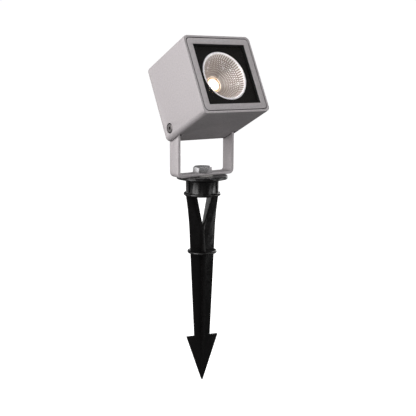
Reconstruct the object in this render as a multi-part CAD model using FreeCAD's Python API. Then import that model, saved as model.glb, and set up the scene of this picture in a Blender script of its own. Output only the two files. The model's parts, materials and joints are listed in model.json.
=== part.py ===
import FreeCAD, Part
import math
import os

# Garden spike spotlight: a square tilting LED head on a flat-bar yoke, bolted to a ground spike.
# Millimetres. +Z is up, the origin is on the spike's axis at the underside of its ground flange,
# and the lamp faces -Y. The head is drawn level about its own pivot and then tilted nose up.

Vector = FreeCAD.Vector
UP = Vector(0, 0, 1)
RIGHT = Vector(1, 0, 0)
BACK = Vector(0, 1, 0)
TINY = 1e-6

# ---------------------------------------------------------------- driving dimensions
# head, measured from the pivot
HEAD_W = 80.0                # across, along X
HEAD_H = 80.0                # from the bottom face to the top face
FRONT_REACH = 59.5           # pivot to the front face
BACK_REACH = 12.5            # pivot to the back face
PIVOT_ABOVE_BOTTOM = 10.2
REST_TILT = 26.3             # degrees, nose up
EDGE_R = 5.0                 # long edges of the housing
BACK_EDGE_R = 3.0
LIP_EDGE_R = 0.5
WALL = 2.8                   # housing wall
LIP = 2.2                    # housing wall seen round the bezel
SHELF_T = 3.5                # plate behind the bezel that carries the optics

# bezel and glass
BEZEL_GAP = 0.8              # shadow groove between housing and bezel
BEZEL_CORNER_R = 4.0
BEZEL_FACE = 6.0             # width of the bezel's front face
BEZEL_LIP = 0.8              # bezel metal in front of the glass
BEZEL_WALL = 3.0             # bezel metal beside the glass
GLASS_T = 3.0
GLASS_CORNER_R = 6.0
GLASS_GAP = 0.2
GASKET_T = 1.2
GASKET_W = 2.2
BAFFLE_T = 1.0
BAFFLE_EDGE_GAP = 0.3
BAFFLE_HOLE_GAP = 0.3        # round the reflector's rim
BEZEL_SCREW_INSET = 2.8      # screw axis inside the bezel's edge
BEZEL_SCREW_LENGTH = 7.0

# optics
REFLECTOR_R = 25.0           # outside of the rim
REFLECTOR_WALL = 0.8
REFLECTOR_DEPTH = 20.0
REFLECTOR_NECK_R = 8.0       # inside, at the light source
REFLECTOR_FLANGE_W = 2.5
REFLECTOR_FLANGE_T = 0.8
REFLECTOR_FLANGE_GAP = 0.1   # behind the baffle
SHELF_HOLE_GAP = 0.7         # round the reflector's flange
EMITTER_R = 6.2
EMITTER_T = 0.8
EMITTER_SETBACK = 0.5        # from the reflector's neck to the emitter's face
BOARD_W = 19.0
BOARD_T = 1.6
PAD_T = 0.4
HOLDER_R = 20.0
HOLDER_LIP = 1.4             # holder plastic in front of the board
HOLDER_SEAT_GAP = 0.2        # round the board
LEAD_SLOT_W = 2.5
LEAD_SLOT_RISE = 5.0         # lamp's axis to the slot for the leads
LEAD_SLOT_LIP = 0.4          # behind the board's face
HOLDER_SCREW_R = 15.6        # radius of the two holder screws' circle
OPTIC_GAP = 0.4

# heat sink and its pillars
SINK_W = 48.0
SINK_H = 56.0
SINK_BASE_T = 5.0
FIN_COUNT = 7
FIN_T = 1.6
FIN_PITCH = 6.0
FIN_TO_DRIVER = 4.2          # clear of the driver
PILLAR_R = 3.2
PILLAR_INSET = 3.6           # pillar axis inside the heat sink's edge

# rear cover
COVER_T = 3.0
COVER_INSET = 3.6            # cover outline inside the housing's faces
COVER_GAP = 0.25
COVER_CORNER_R = 3.0
COVER_FOOT_GAP = 0.8         # housing metal left between cover foot and slot wall
REAR_GASKET_T = 1.0
LEDGE_T = 2.5
LEDGE_W = 3.4
COVER_SCREW_INSET = 3.2
SCREW_SUNK = 0.1             # head below the cover's face
COLUMN_R = 3.6
COLUMN_LENGTH = 14.0

# pivot slots in the housing
SLOT_SIDE_GAP = 1.0          # inside the yoke arm
SLOT_END_GAP = 0.7           # round the yoke arm's rounded end
SLOT_WALL = 2.0              # between slot and cavity
COUNTERBORE_DEPTH = 2.4
COUNTERBORE_GAP = 0.7

# screws: shank radius, head radius, head height, hex key across flats
M25 = (1.25, 2.25, 1.5, 1.5)
M3 = (1.5, 2.75, 1.65, 2.0)
M5 = (2.5, 4.5, 2.3, 3.0)
SCREW_ROUND = 0.35           # of the head's height, round its rim
KEY_DEPTH = 0.6              # of the head's height
SCREW_BITE = 6.0             # thread held by a column
TAPPED_DEPTH = 10.0
THREAD_GAP = 0.02            # between a modelled shank and its tapped hole
HOLE_GAP = 0.2               # radial, round a screw that passes through
HEAD_GAP = 0.3
PIVOT_RUNNING_GAP = 0.05
PIVOT_FACE_GAP = 0.05
PIVOT_WASHER_R = 5.6
PIVOT_WASHER_T = 0.75

# yoke
YOKE_INSET = 5.0             # arm's outer face inside the housing's side
BAR_W = 15.0
BAR_T = 3.0
PIVOT_RISE = 49.6            # yoke underside to pivot
BEND_R = 5.5                 # outside of the two bends

# bolt and nut that hold the yoke
BOLT_R = 5.0
BOLT_LENGTH = 20.0
HEX_FLATS = 17.0
HEAD_HEIGHT = 6.4
HEAD_CHAMFER_W = 0.4         # on the top, inside the flats
HEAD_CHAMFER_FROM = 0.85     # of the head's height, where the chamfer may start
NUT_HEIGHT = 8.0
HEX_GAP = 0.15
BOLT_TURN = 32.5             # degrees, where one corner of the hexagon points
PAN_RUNNING_GAP = 0.1
BOLT_TIP_GAP = 0.3           # under the bolt's tip, in the socket's floor

# cap and spike
CAP_INSET = 0.3              # cap's edge inside the flange's
CAP_T = 1.2
CAP_ROUND = 0.4              # of its thickness, round its upper edge
CAP_PLUG_GAP = 0.2
CAP_BELOW_NUT = 0.4          # plug reaches this far past the nut
CAP_WEB = 2.5                # cap plastic between friction washer and nut
FRICTION_R = 11.0
FRICTION_T = 1.1
FRICTION_PROUD = 0.1         # washer above the cap
SPIKE_TURN = -17.6           # degrees, blade plane from the X axis
FLANGE_R = 26.3
FLANGE_T = 1.7
FLANGE_RIM_W = 2.3           # flat ring that rests on the ground
FLANGE_CONE_H = 2.4
SOCKET_R = 17.1
SOCKET_WALL = 2.6
SOCKET_H = 12.0              # below the flange's cone
SOCKET_FLOOR = 3.1
PANEL_COUNT = 8
PANEL_ANGLE = 27.0           # degrees of each recessed panel
PANEL_DEPTH = 1.1
PANEL_PHASE = 30.9           # degrees, middle of the first panel from the blade
PANEL_MARGIN = 0.6
COLLAR_BEAD = 1.6
COLLAR_PROUD = 2.1           # beyond the socket's wall
BLADE_T = 3.0
LEG_PROUD = 0.1              # legs beyond the socket's wall, under the collar
LEG_BULGE = 14.2             # half-width half way down the legs
LEG_SAG = 2.0                # how far below half way that width lies
RING_R = 15.4
RING_BEAD = 1.4
RING_DROP = 76.7             # ground to ring
RING_WEB_T = 2.0
CROTCH_DROP = 50.0           # ground to the bottom of the V
CROTCH_HALF = 8.0            # half-width of the V at its top
LEG_JOIN_DROP = 64.4         # ground to where the legs are one blade
LEG_JOIN_HALF = 13.1
FLANGE_REACH = 8.0           # depth of the rib along the V, at its top
RIB_T = 2.5
CROTCH_REACH = 2.2           # depth of the rib at the bottom of the V
RIB_REACH = 8.0              # at the lower ring
RIB_TAPER = 0.5              # less at the barbs
BARB_DROP = 168.8
BARB_HALF = 17.1
SHAFT_HALF = 8.3             # blade half-width above the barbs
TIP_DROP = 217.9
TIP_HALF = 0.6
HEAD_RIB_REACH = 4.2         # centre rib on the arrowhead
HEAD_RIB_RAMP = 6.0
TIP_PLAIN = 3.0              # no rib at the very tip

# driver and wiring
DRIVER_W = 44.0
DRIVER_H = 26.0
DRIVER_T = 14.0
DRIVER_CORNER_R = 2.5
DRIVER_EAR = 8.0
DRIVER_EAR_T = 2.0
STANDOFF_R = 3.2
STANDOFF_H = 3.5
STANDOFF_SCREW_BITE = 4.0
STANDOFF_HOLE_END = 1.2      # cover metal left behind a standoff's thread
DRIVER_ABOVE_GLAND = 1.5     # clear of the gland's locknut
TERMINAL_W = 23.0
TERMINAL_H = 10.6
TERMINAL_T = 10.0
TERMINAL_POLES = 3
TERMINAL_BOTTOM = 7.6        # above the head's bottom face
WIRE_HOLE_R = 1.6
WIRE_HOLE_SETBACK = 6.0      # behind the block's front
CLAMP_HOLE_DEPTH = 5.0

# cable gland, M16 for a 7.2 mm cable
GLAND_DROP = 8.0             # below the lamp's axis
GLAND_THREAD_R = 8.0
GLAND_HEX = 20.0
GLAND_HEX_T = 6.0
GLAND_BORE_R = 4.6
GLAND_OUT = 8.0              # threaded stub behind the hexagon
STUB_WALL = 1.3
LOCKNUT_WALL = 1.5           # nut outside the thread, at its flats
LOCKNUT_T = 3.5
THREAD_END = 0.8             # thread past the locknut
SEAL_BORE_R = 3.6
SEAL_WALL = 2.4
SEAL_LENGTH = 12.0
SEAL_SETBACK = 2.0           # behind the gland's hexagon
SEAL_GAP = 0.1
DOME_GAP = 0.4               # between the hexagon and the dome nut
DOME_THREAD_GAP = 0.1
DOME_RELIEF = 0.3            # past the end of the stub
DOME_LENGTH = 15.0
DOME_WALL = 1.9
DOME_ROUND = 3.0
CABLE_HOLE_GAP = 0.5         # wider than the seal's bore
GRIP_COUNT = 12
GRIP_R = 0.9
GRIP_DEPTH = 0.5

# ---------------------------------------------------------------- places worked out from them
HALF_W = HEAD_W / 2
HALF_H = HEAD_H / 2
BOTTOM = -PIVOT_ABOVE_BOTTOM
TOP = BOTTOM + HEAD_H
AXIS_Z = BOTTOM + HALF_H                        # the lamp's axis
FRONT = -FRONT_REACH
REAR = BACK_REACH

# how far the front pieces' edges lie inside the housing's faces
BEZEL_IN = LIP + BEZEL_GAP
OPENING_IN = BEZEL_IN + BEZEL_FACE
SEAT_IN = BEZEL_IN + BEZEL_WALL
GLASS_IN = SEAT_IN + GLASS_GAP
GASKET_IN = GLASS_IN + GASKET_W
BAFFLE_IN = GASKET_IN + BAFFLE_EDGE_GAP

GLASS_FRONT = FRONT + BEZEL_LIP
GLASS_BACK = GLASS_FRONT + GLASS_T
SHELF_FRONT = GLASS_BACK + GASKET_T
SHELF_BACK = SHELF_FRONT + SHELF_T
BAFFLE_FRONT = SHELF_FRONT - BAFFLE_T
FLANGE_FRONT = BAFFLE_T + REFLECTOR_FLANGE_GAP  # reflector's flange, behind its rim
SHELF_HOLE_R = REFLECTOR_R + REFLECTOR_FLANGE_W + SHELF_HOLE_GAP

REFLECTOR_BACK = BAFFLE_FRONT + REFLECTOR_DEPTH
EMITTER_FRONT = REFLECTOR_BACK + EMITTER_SETBACK
BOARD_FRONT = EMITTER_FRONT + EMITTER_T
BOARD_BACK = BOARD_FRONT + BOARD_T
SINK_FRONT = BOARD_BACK + PAD_T
SINK_BACK = SINK_FRONT + SINK_BASE_T
PILLAR_X = SINK_W / 2 - PILLAR_INSET
PILLAR_Z = SINK_H / 2 - PILLAR_INSET

COVER_FRONT = REAR - COVER_T
COVER_SCREW_SEAT = REAR - M3[2] - SCREW_SUNK
LEDGE_BACK = COVER_FRONT - REAR_GASKET_T
LEDGE_FRONT = LEDGE_BACK - LEDGE_T

ARM_OUT = HALF_W - YOKE_INSET
ARM_IN = ARM_OUT - BAR_T
SLOT_IN = ARM_IN - SLOT_SIDE_GAP
SLOT_OUT = ARM_OUT + PIVOT_WASHER_T + PIVOT_FACE_GAP
SLOT_R = BAR_W / 2 + SLOT_END_GAP
POCKET_R = SLOT_R + SLOT_WALL
POCKET_IN = SLOT_IN - SLOT_WALL

COVER_HALF = HALF_W - COVER_INSET
COVER_TOP = TOP - COVER_INSET
COVER_SHOULDER = POCKET_R + COVER_FOOT_GAP
COVER_FOOT_HALF = POCKET_IN - COVER_FOOT_GAP
COVER_BOTTOM = BOTTOM + COVER_INSET
COVER_SCREWS = [
    (side * (half - COVER_SCREW_INSET), height)
    for half, height in (
        (COVER_HALF, COVER_TOP - COVER_SCREW_INSET),
        (COVER_FOOT_HALF, COVER_BOTTOM + COVER_SCREW_INSET),
    )
    for side in (-1, 1)
]
PILLARS = [(x, AXIS_Z + z) for x in (-PILLAR_X, PILLAR_X) for z in (-PILLAR_Z, PILLAR_Z)]
BEZEL_SCREW_IN = BEZEL_IN + BEZEL_SCREW_INSET
BEZEL_SCREWS = [
    (x, AXIS_Z + z)
    for x in (BEZEL_SCREW_IN - HALF_W, HALF_W - BEZEL_SCREW_IN)
    for z in (BEZEL_SCREW_IN - HALF_H, HALF_H - BEZEL_SCREW_IN)
]
HOLDER_SCREWS = [(-HOLDER_SCREW_R, AXIS_Z), (HOLDER_SCREW_R, AXIS_Z)]
GLAND_Z = AXIS_Z - GLAND_DROP
LOCKNUT_HEX = 2 * (GLAND_THREAD_R + LOCKNUT_WALL)
SEAL_R = SEAL_BORE_R + SEAL_WALL
GLAND_STUB_R = SEAL_R + SEAL_GAP + STUB_WALL
DOME_R = GLAND_STUB_R + DOME_THREAD_GAP + DOME_WALL
SEAL_START = GLAND_HEX_T + SEAL_SETBACK
SEAL_END = SEAL_START + SEAL_LENGTH
STUB_END = GLAND_HEX_T + GLAND_OUT
STANDOFF_FRONT = COVER_FRONT - STANDOFF_H
DRIVER_FRONT = STANDOFF_FRONT - DRIVER_T
FIN_BACK = DRIVER_FRONT - FIN_TO_DRIVER
DRIVER_BOTTOM = GLAND_Z + LOCKNUT_HEX / math.sqrt(3) + DRIVER_ABOVE_GLAND
DRIVER_TOP = DRIVER_BOTTOM + DRIVER_H
DRIVER_MID = (DRIVER_BOTTOM + DRIVER_TOP) / 2
DRIVER_SCREWS = [(side * (DRIVER_W + DRIVER_EAR) / 2, DRIVER_MID) for side in (-1, 1)]
TERMINAL_Z = BOTTOM + TERMINAL_BOTTOM + TERMINAL_H / 2
TERMINAL_FRONT = STANDOFF_FRONT - TERMINAL_T

FLANGE_TOP = FLANGE_T
CAP_TOP = FLANGE_TOP + CAP_T
YOKE_BOTTOM = CAP_TOP + FRICTION_PROUD
YOKE_TOP_OF_BASE = YOKE_BOTTOM + BAR_T
PIVOT_Z = YOKE_BOTTOM + PIVOT_RISE
CONE_BOTTOM = -FLANGE_CONE_H
SOCKET_BOTTOM = CONE_BOTTOM - SOCKET_H
COLLAR_BOTTOM = SOCKET_BOTTOM - SOCKET_FLOOR
COLLAR_MID = (SOCKET_BOTTOM + COLLAR_BOTTOM) / 2
FRICTION_BOTTOM = YOKE_BOTTOM - FRICTION_T
NUT_TOP = FRICTION_BOTTOM - CAP_WEB
NUT_BOTTOM = NUT_TOP - NUT_HEIGHT
CAP_R = FLANGE_R - CAP_INSET
CAP_PLUG_BOTTOM = NUT_BOTTOM - CAP_BELOW_NUT
BOLT_TIP = YOKE_TOP_OF_BASE - BOLT_LENGTH
COLLAR_R = SOCKET_R + COLLAR_PROUD
LEG_SPREAD = SOCKET_R + LEG_PROUD


# ---------------------------------------------------------------- shape helpers
def block(x0, x1, y0, y1, z0, z1):
    return Part.makeBox(x1 - x0, y1 - y0, z1 - z0, Vector(x0, y0, z0))


def rod(radius, start, end, axis, across=0.0, up=0.0):
    """A cylinder from start to end along RIGHT, BACK or UP; across and up place its axis."""
    if axis is RIGHT:
        base = Vector(start, across, up)
    elif axis is BACK:
        base = Vector(across, start, up)
    else:
        base = Vector(across, up, start)
    return Part.makeCylinder(radius, end - start, base, axis)


def rounded_plate(half_w, z0, z1, y0, y1, radius):
    """A plate in the XZ plane with rounded corners, from y0 to y1."""
    plate = block(-half_w, half_w, y0, y1, z0, z1)
    return plate.makeFillet(radius, [edge for edge in plate.Edges if is_along_y(edge)])


def is_along_y(edge):
    first, last = edge.Vertexes[0].Point, edge.Vertexes[-1].Point
    return abs(first.x - last.x) < TINY and abs(first.z - last.z) < TINY


def face_plate(inset, y0, y1, radius):
    """A rounded plate whose edges lie inset from the housing's four faces."""
    return rounded_plate(HALF_W - inset, BOTTOM + inset, TOP - inset, y0, y1, radius)


def hexagon(flats, z0, z1, turn=0.0):
    """A hexagonal prism along Z with its centre on the Z axis; turn is where a corner points."""
    corner = flats / math.sqrt(3)
    angles = [math.radians(turn + 60 * i) for i in range(7)]
    points = [Vector(corner * math.cos(a), corner * math.sin(a), z0) for a in angles]
    return Part.Face(Part.makePolygon(points)).extrude(Vector(0, 0, z1 - z0))


def lay_back(shape, across, up, along=0.0):
    """Turn a shape drawn up the Z axis so that it points back along +Y, at a place in XZ."""
    turned = shape.copy()
    turned.rotate(Vector(0, 0, 0), RIGHT, -90)
    turned.translate(Vector(across, along, up))
    return turned


def polygon_xz(points, y0, y1):
    face = Part.Face(Part.makePolygon([Vector(x, y0, z) for x, z in points + points[:1]]))
    return face.extrude(Vector(0, y1 - y0, 0))


def polygon_yz(points, x0, x1):
    face = Part.Face(Part.makePolygon([Vector(x0, y, z) for y, z in points + points[:1]]))
    return face.extrude(Vector(x1 - x0, 0, 0))


def fuse(shapes):
    shapes = list(shapes)
    if len(shapes) == 1:
        return shapes[0]
    return shapes[0].multiFuse(shapes[1:]).removeSplitter()


def cut(shape, tools):
    return shape.cut(fuse(tools)).removeSplitter()


def mirror_x(shape):
    return shape.mirror(Vector(0, 0, 0), RIGHT)


def screw(kind, length):
    """A socket screw pointing up: shank from 0 to length, head below 0, with a hex socket."""
    shank_r, head_r, head_h, key = kind
    head = rod(head_r, -head_h, 0, UP)
    rim = [edge for edge in head.Edges if abs(edge.BoundBox.ZMax + head_h) < TINY]
    head = head.makeFillet(head_h * SCREW_ROUND, rim)
    shank = rod(shank_r, 0, length, UP)
    return fuse([head, shank]).cut(hexagon(key, -head_h, head_h * (KEY_DEPTH - 1)))


def nose_screws(kind, length, places, seat):
    """Screws along Y with their heads behind the seat plane and their shanks towards the front."""
    made = []
    for x, z in places:
        one = screw(kind, length)
        one.rotate(Vector(0, 0, 0), RIGHT, 90)
        one.translate(Vector(x, seat, z))
        made.append(one)
    return Part.makeCompound(made)


def holes(radius, places, y0, y1):
    return [rod(radius, y0, y1, BACK, x, z) for x, z in places]


# ---------------------------------------------------------------- placing
def place_head(shape):
    """Tilt a shape drawn level about the pivot and lift it to the pivot's place."""
    placed = shape.copy()
    placed.rotate(Vector(0, 0, 0), RIGHT, -REST_TILT)
    placed.translate(Vector(0, 0, PIVOT_Z))
    return placed


def place_yoke(shape):
    placed = shape.copy()
    placed.translate(Vector(0, 0, PIVOT_Z))
    return placed


def place_spike(shape):
    placed = shape.copy()
    placed.rotate(Vector(0, 0, 0), UP, SPIKE_TURN)
    return placed


# ---------------------------------------------------------------- housing
def slot_shape(radius, x0, x1):
    """The space that a yoke arm sweeps from level to straight up, open below and behind."""
    far = HEAD_H
    around = rod(radius, x0, x1, RIGHT)
    below = block(x0, x1, -radius, far, -far, 0)
    behind = block(x0, x1, 0, far, -far, radius)
    return fuse([around, below, behind])


def rear_outline(inset, y0, y1, radius):
    """The T-shaped outline of the rear cover, narrow where the pivot slots are."""
    upper = rounded_plate(COVER_HALF - inset, COVER_SHOULDER + inset, COVER_TOP - inset, y0, y1, radius)
    foot_top = COVER_SHOULDER + inset + 2 * radius
    foot = rounded_plate(COVER_FOOT_HALF - inset, COVER_BOTTOM + inset, foot_top, y0, y1, radius)
    neck = block(-COVER_FOOT_HALF + inset, COVER_FOOT_HALF - inset, y0, y1, foot_top - radius, foot_top)
    return fuse([upper, foot, neck])


def housing():
    body = rounded_plate(HALF_W, BOTTOM, TOP, FRONT, REAR, EDGE_R)
    body = body.makeFillet(BACK_EDGE_R, [e for e in body.Edges if e.BoundBox.YMin > REAR - TINY])
    body = body.makeFillet(LIP_EDGE_R, [e for e in body.Edges if e.BoundBox.YMax < FRONT + TINY])

    recess = face_plate(LIP, FRONT - 1, SHELF_FRONT, BEZEL_CORNER_R + BEZEL_GAP)
    cavity = face_plate(WALL, SHELF_BACK, LEDGE_FRONT, EDGE_R - WALL)
    pockets = [slot_shape(POCKET_R, POCKET_IN, HEAD_W), slot_shape(POCKET_R, -HEAD_W, -POCKET_IN)]
    columns = holes(COLUMN_R, COVER_SCREWS, LEDGE_BACK - COLUMN_LENGTH, LEDGE_BACK)
    pillars = holes(PILLAR_R, PILLARS, SHELF_BACK, SINK_FRONT)
    cavity = cut(cavity, pockets + columns + pillars)
    opening = rear_outline(LEDGE_W, LEDGE_FRONT - 1, LEDGE_BACK + 1, COVER_CORNER_R)
    opening = cut(opening, columns)
    rebate = rear_outline(0, LEDGE_BACK, REAR + 1, COVER_CORNER_R)
    lamp_hole = rod(SHELF_HOLE_R, SHELF_FRONT - 1, SHELF_BACK + 1, BACK, 0, AXIS_Z)
    slots = [slot_shape(SLOT_R, SLOT_IN, SLOT_OUT), slot_shape(SLOT_R, -SLOT_OUT, -SLOT_IN)]
    pivot_hole = rod(M5[0] + PIVOT_RUNNING_GAP, -HEAD_W, HEAD_W, RIGHT)
    inner_keep = block(-SLOT_IN, SLOT_IN, -SLOT_R, SLOT_R, -SLOT_R, SLOT_R)
    seat = HALF_W - COUNTERBORE_DEPTH
    bore_r = M5[1] + COUNTERBORE_GAP
    counterbores = [rod(bore_r, seat, HEAD_W, RIGHT), rod(bore_r, -HEAD_W, -seat, RIGHT)]
    screw_holes = holes(M25[0] + HOLE_GAP, BEZEL_SCREWS, SHELF_FRONT - 1, SHELF_BACK + 1)
    screw_holes += holes(M3[0] + THREAD_GAP, PILLARS, SINK_FRONT - TAPPED_DEPTH, SINK_FRONT + 1)
    screw_holes += holes(M3[0] + THREAD_GAP, COVER_SCREWS, LEDGE_BACK - TAPPED_DEPTH, LEDGE_BACK + 1)

    tools = [recess, cavity, opening, rebate, lamp_hole, pivot_hole.cut(inner_keep)]
    tools += slots + counterbores + screw_holes
    for tool in tools:
        body = body.cut(tool)
    return body.removeSplitter()


# ---------------------------------------------------------------- front of the head
def front_bezel():
    ring = face_plate(BEZEL_IN, FRONT, SHELF_FRONT, BEZEL_CORNER_R)
    half = HALF_W - OPENING_IN
    opening = block(-half, half, FRONT - 1, SHELF_FRONT, BOTTOM + OPENING_IN, TOP - OPENING_IN)
    seat = face_plate(SEAT_IN, GLASS_FRONT, SHELF_FRONT + 1, GLASS_CORNER_R + GLASS_GAP)
    tapped = holes(M25[0] + THREAD_GAP, BEZEL_SCREWS, GLASS_FRONT, SHELF_FRONT + 1)
    return cut(ring, [opening, seat] + tapped)


def bezel_screws():
    return nose_screws(M25, BEZEL_SCREW_LENGTH, BEZEL_SCREWS, SHELF_BACK)


def front_glass():
    return face_plate(GLASS_IN, GLASS_FRONT, GLASS_BACK, GLASS_CORNER_R)


def glass_gasket():
    outer = face_plate(GLASS_IN, GLASS_BACK, SHELF_FRONT, GLASS_CORNER_R)
    inner = face_plate(GASKET_IN, GLASS_BACK - 1, SHELF_FRONT + 1, GLASS_CORNER_R - GASKET_W)
    return outer.cut(inner)


def baffle_plate():
    plate = face_plate(BAFFLE_IN, BAFFLE_FRONT, SHELF_FRONT, GLASS_CORNER_R - GASKET_W)
    hole_r = REFLECTOR_R + BAFFLE_HOLE_GAP
    return plate.cut(rod(hole_r, BAFFLE_FRONT - 1, SHELF_FRONT + 1, BACK, 0, AXIS_Z))


def reflector_radius(depth):
    """Inside radius of the parabolic reflector at a depth behind its rim."""
    rim = REFLECTOR_R - REFLECTOR_WALL
    share = 1 - depth / REFLECTOR_DEPTH
    return math.sqrt(REFLECTOR_NECK_R**2 + (rim**2 - REFLECTOR_NECK_R**2) * share)


def reflector_curve(offset, count=7):
    depths = [REFLECTOR_DEPTH * i / (count - 1) for i in range(count)]
    curve = Part.BSplineCurve()
    curve.interpolate([Vector(reflector_radius(d) + offset, 0, d) for d in depths])
    return curve.toShape()


def reflector():
    inside = reflector_curve(0)
    outside = reflector_curve(REFLECTOR_WALL)
    rim = REFLECTOR_R - REFLECTOR_WALL
    neck = REFLECTOR_NECK_R
    front = Part.makeLine(Vector(rim, 0, 0), Vector(REFLECTOR_R, 0, 0))
    back = Part.makeLine(
        Vector(neck, 0, REFLECTOR_DEPTH), Vector(neck + REFLECTOR_WALL, 0, REFLECTOR_DEPTH)
    )
    profile = Part.Face(Part.Wire(Part.sortEdges([inside, back, outside, front])[0]))
    shell = profile.revolve(Vector(0, 0, 0), UP, 360)
    flange_back = FLANGE_FRONT + REFLECTOR_FLANGE_T
    flange = rod(REFLECTOR_R + REFLECTOR_FLANGE_W, FLANGE_FRONT, flange_back, UP)
    flange = flange.cut(rod(reflector_radius(0) - REFLECTOR_WALL / 4, 0, flange_back + 1, UP))
    return lay_back(fuse([shell, flange]), 0, AXIS_Z, BAFFLE_FRONT)


# ---------------------------------------------------------------- light source
def emitter():
    return rod(EMITTER_R, EMITTER_FRONT, BOARD_FRONT, BACK, 0, AXIS_Z)


def led_board():
    half = BOARD_W / 2
    return block(-half, half, BOARD_FRONT, BOARD_BACK, AXIS_Z - half, AXIS_Z + half)


def thermal_pad():
    half = BOARD_W / 2
    return block(-half, half, BOARD_BACK, SINK_FRONT, AXIS_Z - half, AXIS_Z + half)


def led_holder():
    front = BOARD_FRONT - HOLDER_LIP
    ring = rod(HOLDER_R, front, SINK_FRONT, BACK, 0, AXIS_Z)
    throat_r = REFLECTOR_NECK_R + REFLECTOR_WALL + OPTIC_GAP
    throat = rod(throat_r, front - 1, SINK_FRONT, BACK, 0, AXIS_Z)
    half = BOARD_W / 2 + HOLDER_SEAT_GAP
    seat = block(-half, half, BOARD_FRONT, SINK_FRONT + 1, AXIS_Z - half, AXIS_Z + half)
    slot_z = AXIS_Z + LEAD_SLOT_RISE
    lead_slot = block(
        -HOLDER_R, 0, BOARD_FRONT + LEAD_SLOT_LIP, SINK_FRONT + 1, slot_z, slot_z + LEAD_SLOT_W
    )
    bores = holes(M3[0] + HOLE_GAP, HOLDER_SCREWS, front - 1, SINK_FRONT + 1)
    return cut(ring, [throat, seat, lead_slot] + bores)


def face_screws(kind, length, places, seat):
    """Screws along Y with their heads in front of the seat plane and shanks towards the back."""
    return Part.makeCompound([lay_back(screw(kind, length), x, z, seat) for x, z in places])


def led_holder_screws():
    length = HOLDER_LIP + BOARD_T + PAD_T + SINK_BASE_T / 2
    return face_screws(M3, length, HOLDER_SCREWS, BOARD_FRONT - HOLDER_LIP)


# ---------------------------------------------------------------- heat sink
def heat_sink():
    base = block(
        -SINK_W / 2, SINK_W / 2, SINK_FRONT, SINK_BACK, AXIS_Z - SINK_H / 2, AXIS_Z + SINK_H / 2
    )
    fins = []
    for i in range(FIN_COUNT):
        x = (i - (FIN_COUNT - 1) / 2) * FIN_PITCH
        low, high = AXIS_Z - SINK_H / 2, AXIS_Z + SINK_H / 2
        fins.append(block(x - FIN_T / 2, x + FIN_T / 2, SINK_BACK, FIN_BACK, low, high))
    bores = holes(M3[0] + HOLE_GAP, PILLARS, SINK_FRONT - 1, SINK_BACK + 1)
    bores += holes(M3[0] + THREAD_GAP, HOLDER_SCREWS, SINK_FRONT - 1, SINK_BACK + 1)
    head_room = holes(M3[1] + HEAD_GAP, PILLARS, SINK_BACK, FIN_BACK + 1)
    return cut(fuse([base] + fins), bores + head_room)


def heat_sink_screws():
    return nose_screws(M3, SINK_BASE_T + SCREW_BITE, PILLARS, SINK_BACK)


# ---------------------------------------------------------------- rear of the head
def rear_cover():
    plate = rear_outline(COVER_GAP, COVER_FRONT, REAR, COVER_CORNER_R)
    places = DRIVER_SCREWS + [(0, TERMINAL_Z)]
    plate = fuse([plate] + holes(STANDOFF_R, places, STANDOFF_FRONT, COVER_FRONT))
    tools = holes(M3[0] + HOLE_GAP, COVER_SCREWS, COVER_FRONT - 1, REAR + 1)
    tools += holes(M3[1] + HEAD_GAP, COVER_SCREWS, COVER_SCREW_SEAT, REAR + 1)
    tools += holes(M3[0] + THREAD_GAP, places, STANDOFF_FRONT - 1, REAR - STANDOFF_HOLE_END)
    tools.append(rod(GLAND_THREAD_R + HOLE_GAP, COVER_FRONT - 1, REAR + 1, BACK, 0, GLAND_Z))
    return cut(plate, tools)


def rear_gasket():
    band = rear_outline(COVER_GAP, LEDGE_BACK, COVER_FRONT, COVER_CORNER_R)
    window = rear_outline(LEDGE_W, LEDGE_BACK - 1, COVER_FRONT + 1, COVER_CORNER_R)
    ears = holes(COLUMN_R, COVER_SCREWS, LEDGE_BACK - 1, COVER_FRONT + 1)
    window = cut(window, ears)
    return cut(band, [window] + holes(M3[0] + HOLE_GAP, COVER_SCREWS, LEDGE_BACK - 1, COVER_FRONT + 1))


def rear_cover_screws():
    return nose_screws(M3, COVER_SCREW_SEAT - LEDGE_BACK + SCREW_BITE, COVER_SCREWS, COVER_SCREW_SEAT)


def driver_module():
    case = rounded_plate(
        DRIVER_W / 2, DRIVER_BOTTOM, DRIVER_TOP, DRIVER_FRONT, STANDOFF_FRONT, DRIVER_CORNER_R
    )
    ear_half = DRIVER_W / 2 + DRIVER_EAR
    ears = rounded_plate(
        ear_half,
        DRIVER_MID - DRIVER_EAR / 2,
        DRIVER_MID + DRIVER_EAR / 2,
        STANDOFF_FRONT - DRIVER_EAR_T,
        STANDOFF_FRONT,
        DRIVER_CORNER_R,
    )
    bores = holes(M3[0] + HOLE_GAP, DRIVER_SCREWS, DRIVER_FRONT - 1, STANDOFF_FRONT + 1)
    return cut(fuse([case, ears]), bores)


def driver_screws():
    length = DRIVER_EAR_T + STANDOFF_SCREW_BITE
    return face_screws(M3, length, DRIVER_SCREWS, STANDOFF_FRONT - DRIVER_EAR_T)


def terminal_block():
    front = TERMINAL_FRONT
    half_w = TERMINAL_W / 2
    low, high = TERMINAL_Z - TERMINAL_H / 2, TERMINAL_Z + TERMINAL_H / 2
    shape = block(-half_w, half_w, front, STANDOFF_FRONT, low, high)
    pitch = TERMINAL_W / TERMINAL_POLES
    tools = holes(M3[0] + HOLE_GAP, [(0, TERMINAL_Z)], front - 1, STANDOFF_FRONT + 1)
    for i in range(TERMINAL_POLES):
        x = (i - (TERMINAL_POLES - 1) / 2) * pitch
        if abs(x) > M3[1]:
            tools += holes(WIRE_HOLE_R, [(x, TERMINAL_Z)], front - 1, front + CLAMP_HOLE_DEPTH)
            tools.append(rod(WIRE_HOLE_R, low - 1, high + 1, UP, x, front + WIRE_HOLE_SETBACK))
    return cut(shape, tools)


def terminal_screw():
    length = TERMINAL_T + STANDOFF_SCREW_BITE
    return face_screws(M3, length, [(0, TERMINAL_Z)], TERMINAL_FRONT)


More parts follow.
